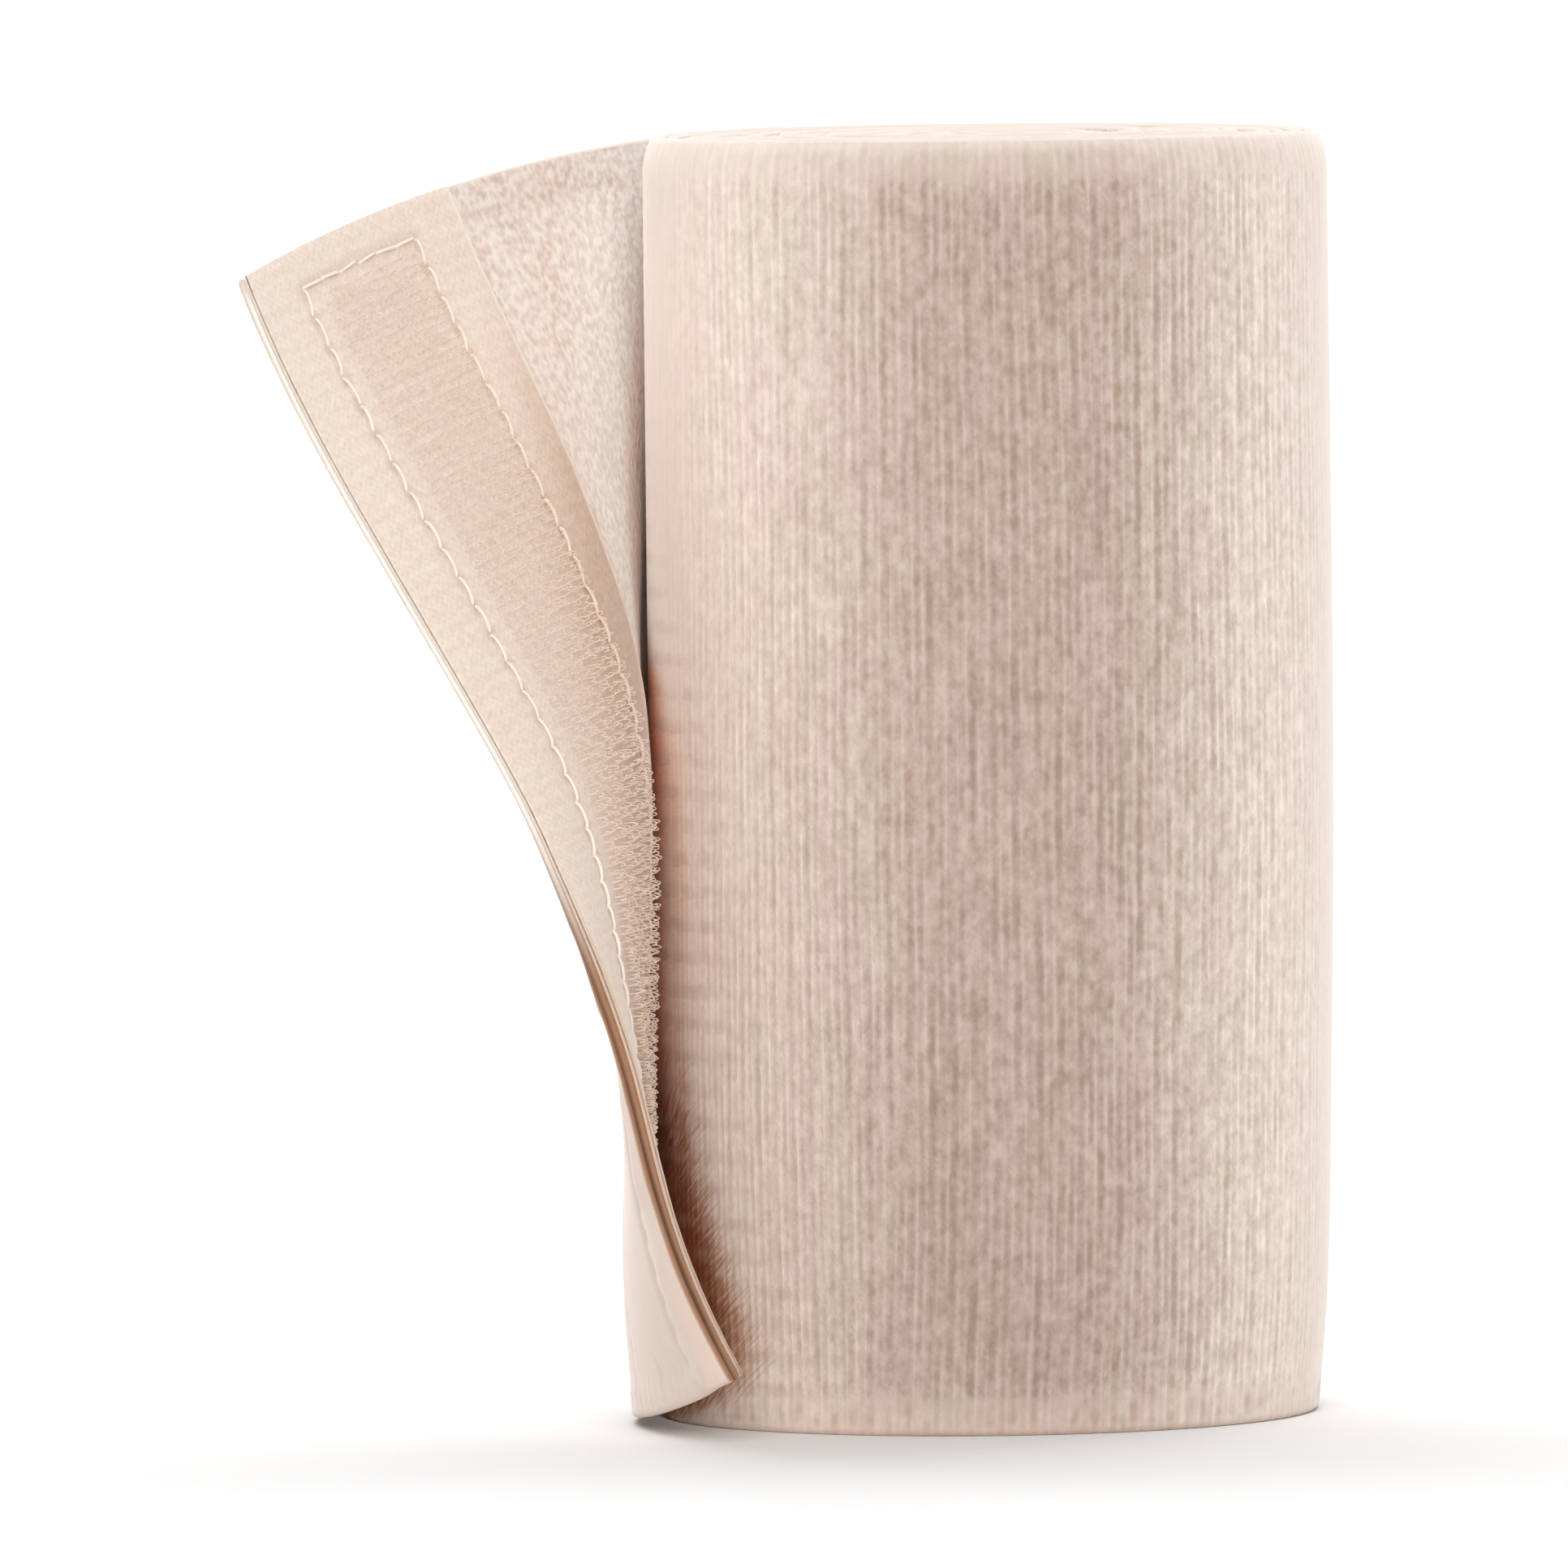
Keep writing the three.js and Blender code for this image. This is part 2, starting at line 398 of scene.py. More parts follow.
def fold_on_roll(at, strip):
    """How far inside the shade of the fold beside the tape places on the roll are, in millimetres."""
    along, level = (grid.ravel() for grid in np.meshgrid(
        np.linspace(28, LOOSE_LENGTH, 50), np.linspace(0, WIDTH, 110), indexing="ij"))
    hook_side = offset(along, level, np.where(along < TAPE_START, -HALF, tape_out(along, level)))
    tree = KDTree(len(hook_side))
    for number, point in enumerate(hook_side):
        tree.insert(point, number)
    tree.balance()
    # How far the fold's painted shade reaches beyond the tape at each height, in millimetres.
    heights = (0, 0.03, 0.06, 0.1, 0.15, 0.2, 0.26, 0.34, 0.45, 0.53, 0.58, 0.63)
    depths = (2.0, 5.4, 6.8, 6.6, 5.4, 3.8, 2.7, 2.2, 1.85, 1.7, 1.2, -1.0)
    reach = np.interp(strip[:, 1] / WIDTH, heights, depths)
    inside = np.full(len(at), -8.0)
    for number in np.flatnonzero((strip[:, 0] > -175) & (strip[:, 2] > 0)):
        inside[number] = max(-8.0, reach[number] - tree.find(at[number])[2])
    return inside


def near_roll(at):
    """How near the roll is to places on the loose end: 1 where they touch, 0 at 25 mm and beyond."""
    height = np.clip(at[..., 2] / WIDTH, 0, 1)
    shift = read(OUTLINE, "lean", height) * ROLL_RADIUS
    gap = np.hypot(at[..., 0] - shift, at[..., 1]) - ROLL_RADIUS * read(OUTLINE, "girth", height)
    return np.clip(1 - gap / 25, 0, 1)


def wound_roll(face_material, reverse_material):
    """All wound turns in one closed mesh. Only the last turn's outer face has fine columns and rows."""
    last_turn = -(LAST_RADIUS * 2 * math.pi - PITCH * math.pi)
    covered = last_turn + math.radians(36) * LAST_RADIUS
    curl = np.linspace(INNER_END, -WOUND_LENGTH, 14)[:-1]
    turns_inside = np.linspace(-WOUND_LENGTH, last_turn, int(last_turn + WOUND_LENGTH))
    coarse = np.concatenate([curl, turns_inside])
    fine = np.concatenate([np.arange(last_turn + 0.5, covered, 0.6), np.arange(covered, 0, 0.25), [0.0]])
    points, strips, rises, faces, rings, start = [], [], [], [], [], 0
    for places, rows in ((coarse, 3), (fine, 98)):
        levels, side = section(rows, 3, ROUND)
        along, level = np.meshgrid(places, levels, indexing="ij")
        share = np.broadcast_to(side, along.shape)
        rise = relief(along, level)
        shown = rise * (share > 0) * share**2 if rows > 3 else 0 * rise
        at = offset(along, level, share * HALF + shown)
        at[..., 2] += telescope(along, level)
        points.append(at.reshape(-1, 3))
        strips.append(np.stack([along, level, share * HALF], -1).reshape(-1, 3))
        rises.append(rise.ravel())
        faces += tube_faces(*along.shape, start)
        rings.append((start, *along.shape, rows))
        start += along.size
    first, first_columns, first_around, first_rows = rings[0]
    second, second_columns, second_around, second_rows = rings[1]
    last = first + (first_columns - 1) * first_around
    # Where the fine columns begin, the outer face's rows differ in number and the rest of the loop matches.
    faces += bridge(range(last, last + first_rows), range(second, second + second_rows))
    for k in range(first_around - first_rows + 1):
        here, there = first_rows - 1 + k, second_rows - 1 + k
        here_next, there_next = (here + 1) % first_around, (there + 1) % second_around
        faces.append((last + here, second + there, second + there_next, last + here_next))
    faces += cap_faces(first, first_around, first_rows, True)
    faces += cap_faces(second + (second_columns - 1) * second_around, second_around, second_rows, False)
    strip, at = np.concatenate(strips), np.concatenate(points)
    piece = cloth("wound_roll", at, faces, strip, np.concatenate(rises), fold_on_roll(at, strip))
    give_reverse(piece, strip, face_material, reverse_material)
    return piece


def loose_flap(face_material, reverse_material):
    """The loose end, with the knit's relief on both faces and the stitch rows pulled in."""
    turn = np.radians((0, 25, 50, 75))
    straight = np.arange(0, LOOSE_LENGTH - ROUND - 0.1, 0.23)
    places = np.concatenate([straight, LOOSE_LENGTH - ROUND + ROUND * np.sin(turn)])
    full = np.concatenate([np.ones(len(straight)), np.cos(turn)])[:, None]
    outer_rows = 120
    levels, side = section(outer_rows, 66, ROUND)
    along, level = np.meshgrid(places, levels, indexing="ij")
    share = np.broadcast_to(side, along.shape)
    end = LOOSE_LENGTH - along
    pulled = puckers(along, level)
    face = relief(along, level) * np.clip(end / 22, 0.3, 1) - np.where(end > 12, 0.12, 0.38) * pulled
    puffed = 0.42 * bump_at(end, 2.3, 1.6) * (1 + 0.6 * noise(level / 2.4, level * 0, 41) - 0.5 * pulled)
    back = reverse_relief(along, level) * np.clip((TAPE_START - along) / 2, 0, 1)
    rise = np.where(share > 0, face, back)
    swell = np.where(share > 0, face + puffed, back) * np.sign(share) * share**2
    # The outer face is rounded off at the cut end, and the inner one lies flat on the tape.
    at = offset(along, level, (share * HALF + swell) * np.where(share > 0, full, 1))
    strip = np.stack([along, level, share * HALF], -1)
    faces = tube_faces(*along.shape)
    around = along.shape[1]
    faces += cap_faces(0, around, outer_rows, True)
    faces += cap_faces(along.size - around, around, outer_rows, False)
    near = np.where(share > -0.9, -8.0, near_roll(at))
    piece = cloth("loose_flap", at, faces, strip, rise, near)
    give_reverse(piece, strip, face_material, reverse_material)
    return piece


def tape_out(along, level):
    """How far below the fabric's middle the tape's hook side lies, with the stitch rows pulled in."""
    uneven = 0.02 * noise(along / 1.2, level / 1.2, 21) + 0.04 * noise(along / 4, level / 6, 22)
    return -HALF - SEWN_TAPE + uneven + 0.16 * puckers(along, level)


def hook_tape_backing(material):
    """The hook tape's woven backing, sewn on and so closer to the fabric than a separate tape would be."""
    nose = 0.12
    turn = np.radians((15, 35, 55, 75))
    straight = np.linspace(TAPE_START, LOOSE_LENGTH - nose, 108)
    places = np.concatenate([straight, LOOSE_LENGTH - nose + nose * np.sin(turn)])
    full = np.concatenate([np.ones(len(straight)), np.cos(turn)])[:, None]
    outer_rows = 40
    levels, side = section(outer_rows, 200, 0.2)
    along, level = np.meshgrid(places, levels, indexing="ij")
    share = np.broadcast_to(side, along.shape)
    top, bottom = np.full(along.shape, -HALF - 0.01), tape_out(along, level)
    out = np.where(share > 0, top, top + (bottom - top) * (0.5 + 0.5 * full))
    out = np.where(np.abs(share) < 1, (top + bottom) / 2 + share * full * (top - bottom) / 2, out)
    at = offset(along, level, out)
    faces = tube_faces(*along.shape)
    around = along.shape[1]
    faces += cap_faces(0, around, outer_rows, True)
    faces += cap_faces(along.size - around, around, outer_rows, False)
    strip = np.stack([along, level, share], -1)
    piece = cloth("hook_tape_backing", at, faces, strip, -0.2 * puckers(along, level), near_roll(at))
    piece.data.materials.append(material)
    return piece


# What repeats: stitches and hooks


def guide(name, along, level, out, facing, runs):
    """Points on the strip that carry the way they face and the way their row runs."""
    mesh = bpy.data.meshes.new(name)
    mesh.from_pydata((offset(along, level, out) / 1000).tolist(), [], [])
    for label, values in (("facing", facing), ("runs", runs)):
        field = mesh.attributes.new(label, "FLOAT_VECTOR", "POINT")
        field.data.foreach_set("vector", values.astype(np.float32).ravel())
    piece = bpy.data.objects.new(name, mesh)
    bpy.context.scene.collection.objects.link(piece)
    return piece


def run_along(along, level, out, step):
    """The direction between two nearby places, step being how far they differ along and in level."""
    ahead = offset(along + step[0], level + step[1], out)
    behind = offset(along - step[0], level - step[1], out)
    return (ahead - behind) / np.linalg.norm(ahead - behind, axis=-1, keepdims=True)


def add(tree, kind, inputs=(), **settings):
    """Adds a node with its settings, and with values, links or other nodes' results on its inputs."""
    made = tree.nodes.new(kind)
    for name, value in settings.items():
        setattr(made, name, value)
    for key, value in inputs.items() if isinstance(inputs, dict) else enumerate(inputs):
        if isinstance(value, bpy.types.Node):
            value = next(result for result in value.outputs if result.enabled)
        if isinstance(value, bpy.types.NodeSocket):
            tree.links.new(value, made.inputs[key])
        else:
            made.inputs[key].default_value = value
    return made


def size_inputs(tree, sizes):
    """Named size inputs on a geometry tree, in metres, and its output."""
    tree.interface.new_socket("Geometry", in_out="INPUT", socket_type="NodeSocketGeometry")
    tree.interface.new_socket("Geometry", in_out="OUTPUT", socket_type="NodeSocketGeometry")
    for name in sizes:
        tree.interface.new_socket(name, in_out="INPUT", socket_type="NodeSocketFloat")
    return add(tree, "NodeGroupInput").outputs


def bent_wire(tree, reach, rise, shares, thickness, bends, sides):
    """A round wire or thread, whose ends and handles are given as shares of a reach and a rise."""
    points = {}
    for name, (x_share, z_share) in zip(("Start", "Start Handle", "End Handle", "End"), shares):
        x = add(tree, "ShaderNodeMath", (reach, x_share), operation="MULTIPLY")
        z = add(tree, "ShaderNodeMath", (rise, z_share), operation="MULTIPLY")
        points[name] = add(tree, "ShaderNodeCombineXYZ", {"X": x, "Z": z})
    path = add(tree, "GeometryNodeCurvePrimitiveBezierSegment", {"Resolution": bends, **points})
    radius = add(tree, "ShaderNodeMath", (thickness, 0.5), operation="MULTIPLY")
    ring = add(tree, "GeometryNodeCurvePrimitiveCircle", {"Resolution": sides, "Radius": radius})
    swept = add(tree, "GeometryNodeCurveToMesh", {"Curve": path, "Profile Curve": ring, "Fill Caps": True})
    return add(tree, "GeometryNodeSetShadeSmooth", {"Geometry": swept})


def scattered(tree, points, shape, turn, size, material):
    """Ends a tree: the shape on every point, turned as the point faces, made real and given its material."""
    facing, runs = (
        add(tree, "GeometryNodeInputNamedAttribute", {"Name": name}, data_type="FLOAT_VECTOR")
        for name in ("facing", "runs")
    )
    axes = {"Primary Axis": facing, "Secondary Axis": runs}
    stand = add(tree, "FunctionNodeAxesToRotation", axes, primary_axis="Z", secondary_axis="X")
    by = add(tree, "FunctionNodeEulerToRotation", (turn,))
    both = {"Rotation": stand, "Rotate By": by}
    turned = add(tree, "FunctionNodeRotateRotation", both, rotation_space="LOCAL")
    copies = {"Points": points, "Instance": shape, "Rotation": turned, "Scale": size}
    placed = add(tree, "GeometryNodeInstanceOnPoints", copies)
    real = add(tree, "GeometryNodeRealizeInstances", {"Geometry": placed})
    given = add(tree, "GeometryNodeSetMaterial", {"Geometry": real, "Material": material})
    add(tree, "NodeGroupOutput", (given,))


def stitch_tree(material):
    """One lockstitch on every point: a thread up from one hole, over the cloth and down the next."""
    tree = bpy.data.node_groups.new("lockstitches", "GeometryNodeTree")
    given = size_inputs(tree, ("Stitch Length", "Thread Thickness", "Slack"))
    shares = ((-0.5, -1.0), (-0.4, 1.0), (0.4, 1.0), (0.5, -1.0))
    thread = bent_wire(tree, given["Stitch Length"], given["Slack"], shares, given["Thread Thickness"], 8, 8)
    turn, size = (
        add(tree, "FunctionNodeRandomValue", limits, data_type="FLOAT_VECTOR")
        for limits in (
            {"Min": (-0.06, -0.05, -0.14), "Max": (0.06, 0.05, 0.14), "Seed": 3},
            {"Min": (0.94, 0.9, 0.85), "Max": (1.0, 1.1, 1.2), "Seed": 4},
        )
    )
    scattered(tree, given["Geometry"], thread, turn, size, material)
    return tree


def hook_tree(material):
    """One hook on every point: a short nylon cane that bends over at its top, to either side."""
    tree = bpy.data.node_groups.new("nylon_hooks", "GeometryNodeTree")
    given = size_inputs(tree, ("Height", "Reach", "Wire Thickness"))
    shares = ((0.0, -0.15), (-0.3, 1.25), (1.0, 1.35), (1.0, 0.62))
    cane = bent_wire(tree, given["Reach"], given["Height"], shares, given["Wire Thickness"], 7, 5)
    # The limits of whole numbers are the random node's inputs 4 and 5, those of fractions 2 and 3.
    half_turns = add(tree, "FunctionNodeRandomValue", {4: 0, 5: 1, "Seed": 5}, data_type="INT")
    jitter = add(tree, "FunctionNodeRandomValue", {2: -0.35, 3: 0.35, "Seed": 6}, data_type="FLOAT")
    angle = add(tree, "ShaderNodeMath", (half_turns, math.pi, jitter), operation="MULTIPLY_ADD")
    turn = add(tree, "ShaderNodeCombineXYZ", {"Z": angle})
    limits = {"Min": (0.85, 0.9, 0.82), "Max": (1.1, 1.1, 1.08), "Seed": 7}
    size = add(tree, "FunctionNodeRandomValue", limits, data_type="FLOAT_VECTOR")
    scattered(tree, given["Geometry"], cane, turn, size, material)
    return tree


def made_real(piece, tree, sizes):
    """Runs a geometry tree on a piece and keeps the result as a plain mesh."""
    modifier = piece.modifiers.new("made", "NODES")
    modifier.node_group = tree
    sockets = {item.name: item.identifier for item in tree.interface.items_tree if item.in_out == "INPUT"}
    for name, value in sizes.items():
        modifier[sockets[name]] = value
    graph = bpy.context.evaluated_depsgraph_get()
    result = bpy.data.meshes.new_from_object(piece.evaluated_get(graph), depsgraph=graph)
    piece.modifiers.clear()
    old = piece.data
    piece.data = result
    result.name = piece.name
    bpy.data.meshes.remove(old)
    return piece


def stitch_lines():
    """Where each stitch lies: its place along, its level, and whether its row runs up the strip's width."""
    count = int(round((WIDTH - 2 * STITCH_MARGIN) / STITCH))
    pitch = (WIDTH - 2 * STITCH_MARGIN) / count
    up = STITCH_MARGIN + pitch * (np.arange(count) + 0.5)
    across_count = int(round((STITCH_ROWS[1] - STITCH_ROWS[0]) / STITCH))
    across_pitch = (STITCH_ROWS[1] - STITCH_ROWS[0]) / across_count
    across = LOOSE_LENGTH - STITCH_ROWS[0] - across_pitch * (np.arange(across_count) + 0.5)
    along = [np.full(count, LOOSE_LENGTH - row) for row in STITCH_ROWS] + [across, across]
    level = [up, up, np.full(across_count, STITCH_MARGIN), np.full(across_count, WIDTH - STITCH_MARGIN)]
    upright = [np.ones(count), np.ones(count), np.zeros(across_count), np.zeros(across_count)]
    return np.concatenate(along), np.concatenate(level), np.concatenate(upright).astype(bool)


def sewn_thread(material):
    """The box of lockstitches that holds the tape, on the tape and on the fabric's outer face."""
    rows = []
    for name, on_tape in (("stitches_on_tape", True), ("stitches_on_fabric", False)):
        along, level, upright = stitch_lines()
        wander = 0.12 * noise(level / 5, along, 51 if on_tape else 52)
        along = along + wander * upright
        # On the fabric the thread is pulled in among the yarns.
        sunk = np.where(upright, 0.45, 0.58)
        face = tape_out(along, level) if on_tape else HALF + relief(along, level) * 0.5 - sunk
        facing = outward(along, level / WIDTH) * (-1 if on_tape else 1)
        up = run_along(along, level, face, (0.0, 0.3))
        ahead = run_along(along, level, face, (0.3, 0.0))
        runs = np.where(upright[:, None], up, ahead)
        out = face + (-0.08 if on_tape else 0.08)
        row = guide(name, along, level, out, facing, runs)
        sizes = {"Stitch Length": STITCH / 1000 * 0.96, "Thread Thickness": 0.00027, "Slack": 0.0002}
        rows.append(made_real(row, stitch_tree(material), sizes))
    return rows


def hooks(material):
    """Rows of hooks between the tape's stitch rows."""
    margin = 1.1
    across = np.arange(LOOSE_LENGTH - STITCH_ROWS[1] + margin, LOOSE_LENGTH - STITCH_ROWS[0] - margin, 0.8)
    up = np.arange(STITCH_MARGIN + margin, WIDTH - STITCH_MARGIN - margin, 0.72)
    along, level = (grid.ravel() for grid in np.meshgrid(across, up, indexing="ij"))
    random = np.random.default_rng(8)
    along = along + random.uniform(-0.12, 0.12, along.size)
    level = level + random.uniform(-0.08, 0.08, along.size)
    out = tape_out(along, level)
    facing = -outward(along, level / WIDTH)
    row = guide("nylon_hooks", along, level, out, facing, run_along(along, level, out, (0.0, 0.3)))
    sizes = {"Height": 0.00098, "Reach": 0.00032, "Wire Thickness": 0.00009}
    return made_real(row, hook_tree(material), sizes)


# Materials

# The knit's pale colour, the browner painted shade of the band at the roll's front, and the dark end of the
# knit's pattern, which in the grooves is painted shade.
KNIT_PALE = "#EDE4DD"
KNIT_PAINTED_SHADE = "#BBABA3"
KNIT_GROOVE = "#D7CBC2"
FOLD_ALONG = 120.0  # how far back along the strip the fold at the foot lies


def linear(code):
    """An sRGB hex colour as linear numbers with alpha."""
    parts = [int(code[i : i + 2], 16) / 255 for i in (1, 3, 5)]
    return [c / 12.92 if c <= 0.04045 else ((c + 0.055) / 1.055) ** 2.4 for c in parts] + [1.0]


def soft_steps(tree, **steps):
    """Smooth steps by name: a value, where the step begins and ends, and what it goes from and to."""
    made = {
        name: add(tree, "ShaderNodeMapRange", step, interpolation_type="SMOOTHSTEP")
        for name, step in steps.items()
    }
    return SimpleNamespace(**made)


def weighed(tree, total, *terms):
    """A total to which each term is added with its weight."""
    for term, weight in terms:
        total = add(tree, "ShaderNodeMath", (term, weight, total), operation="MULTIPLY_ADD")
    return total


def product(tree, first, *others):
    """All factors multiplied."""
    for factor in others:
        first = add(tree, "ShaderNodeMath", (first, factor), operation="MULTIPLY")
    return first


def apart(tree, value, place):
    """How far a value is from a place."""
    difference = add(tree, "ShaderNodeMath", (value, place), operation="SUBTRACT")
    return add(tree, "ShaderNodeMath", (difference,), operation="ABSOLUTE")


def layered(tree, colour, *layers, kind="MIX"):
    """A colour with others laid over it, each with its share."""
    for share, over in layers:
        over = linear(over) if isinstance(over, str) else over
        below = linear(colour) if isinstance(colour, str) else colour
        inputs = {0: share, 6: below, 7: over}
        colour = add(tree, "ShaderNodeMix", inputs, data_type="RGBA", blend_type=kind)
    return colour


def wave(tree, place, length):
    """A sine wave of a given length."""
    return add(tree, "ShaderNodeMath", (product(tree, place, 2 * math.pi / length),), operation="SINE")


def grain(tree, place, size, detail=3.0, stretch=(1.0, 1.0, 1.0)):
    """Noise round 0 with features of a given size in millimetres."""
    scales = [s / size for s in stretch]
    spread = add(tree, "ShaderNodeMapping", {"Vector": place, "Scale": scales})
    noisy = add(tree, "ShaderNodeTexNoise", {"Vector": spread, "Scale": 1.0, "Detail": detail})
    return add(tree, "ShaderNodeMath", (noisy, 0.5), operation="SUBTRACT")


def patches(tree, x, y, detail):
    """Noise round 0 over two values, each given with the number of features for one unit of it."""
    at = add(tree, "ShaderNodeCombineXYZ", (product(tree, *x), product(tree, *y)))
    noisy = add(tree, "ShaderNodeTexNoise", {"Vector": at, "Scale": 1.0, "Detail": detail})
    return add(tree, "ShaderNodeMath", (noisy, 0.5), operation="SUBTRACT")


def new_material(name):
    material = bpy.data.materials.new(name)
    material.use_nodes = True
    material.node_tree.nodes.clear()
    return material, material.node_tree


def strip_place(tree):
    """The place on the strip as a vector in millimetres, along, level and the depth from the nearer edge."""
    place = add(tree, "ShaderNodeAttribute", attribute_name="strip").outputs["Vector"]
    along, level, _ = add(tree, "ShaderNodeSeparateXYZ", (place,)).outputs
    from_top = add(tree, "ShaderNodeMath", (WIDTH, level), operation="SUBTRACT")
    return place, along, level, add(tree, "ShaderNodeMath", (level, from_top), operation="MINIMUM")


def knit_place(tree):
    """The ribs' count, how open the nearest groove is, and the depth in the fold or how near the roll is."""
    knit = add(tree, "ShaderNodeAttribute", attribute_name="knit").outputs["Vector"]
    return add(tree, "ShaderNodeSeparateXYZ", (knit,)).outputs


def finished(material, tree, height, **look):
    """Ends a material: a Principled shader on a surface with a relief in millimetres."""
    normal = add(tree, "ShaderNodeBump", {"Height": height, "Strength": 1.0, "Distance": 0.001})
    inputs = {name.replace("_", " "): value for name, value in look.items()}
    shader = add(tree, "ShaderNodeBsdfPrincipled", {**inputs, "Normal": normal})
    add(tree, "ShaderNodeOutputMaterial", (shader,))
    return material


# Cotton has no gloss, and its loose fibres catch light at the edge of a form.
MATT_COTTON = {
    "Roughness": 0.95,
    "Specular_IOR_Level": 0.1,
    "Sheen_Roughness": 0.5,
    "Sheen_Tint": linear("#FFF8F2"),
}


def painted_fold_shade(tree, inside, along, level, colour):
    """Cloth in the fold between tape and roll, painted a deep warm brown as painted shade."""
    # The painted shade's feathered edge runs along the loose end's rim at the foot and is level above it.
    slope = soft_steps(tree, by=(level, 34.0, 22.0, 0.0, 0.75)).by
    beyond = add(tree, "ShaderNodeMath", (along, FOLD_ALONG), operation="ADD")
    lifted = add(tree, "ShaderNodeMath", (level, product(tree, slope, beyond)), operation="SUBTRACT")
    fibres = patches(tree, (along, 0.6), (lifted, 3.2), 5.0)
    # Higher up the fold is narrow and deep, so that little light reaches it, and there its painted shade is
    # painted brighter.
    rough = soft_steps(tree, by=(level, 22.0, 32.0, 3.6, 1.1), deep=(level, 22.0, 34.0))
    feathered = add(tree, "ShaderNodeMath", (fibres, rough.by, inside), operation="MULTIPLY_ADD")
    shade = soft_steps(tree, halo=(feathered, -1.8, 0.6), core=(feathered, -0.9, 1.6, 0.0, 0.95))
    halo = layered(tree, "#C08860", (rough.deep, "#FFDCC6"))
    core = layered(tree, "#8A4A2A", (rough.deep, "#E88C5E"))
    colour = layered(tree, colour, (product(tree, shade.halo, 0.7), halo), (shade.core, core))
    return colour, fibres, shade.halo


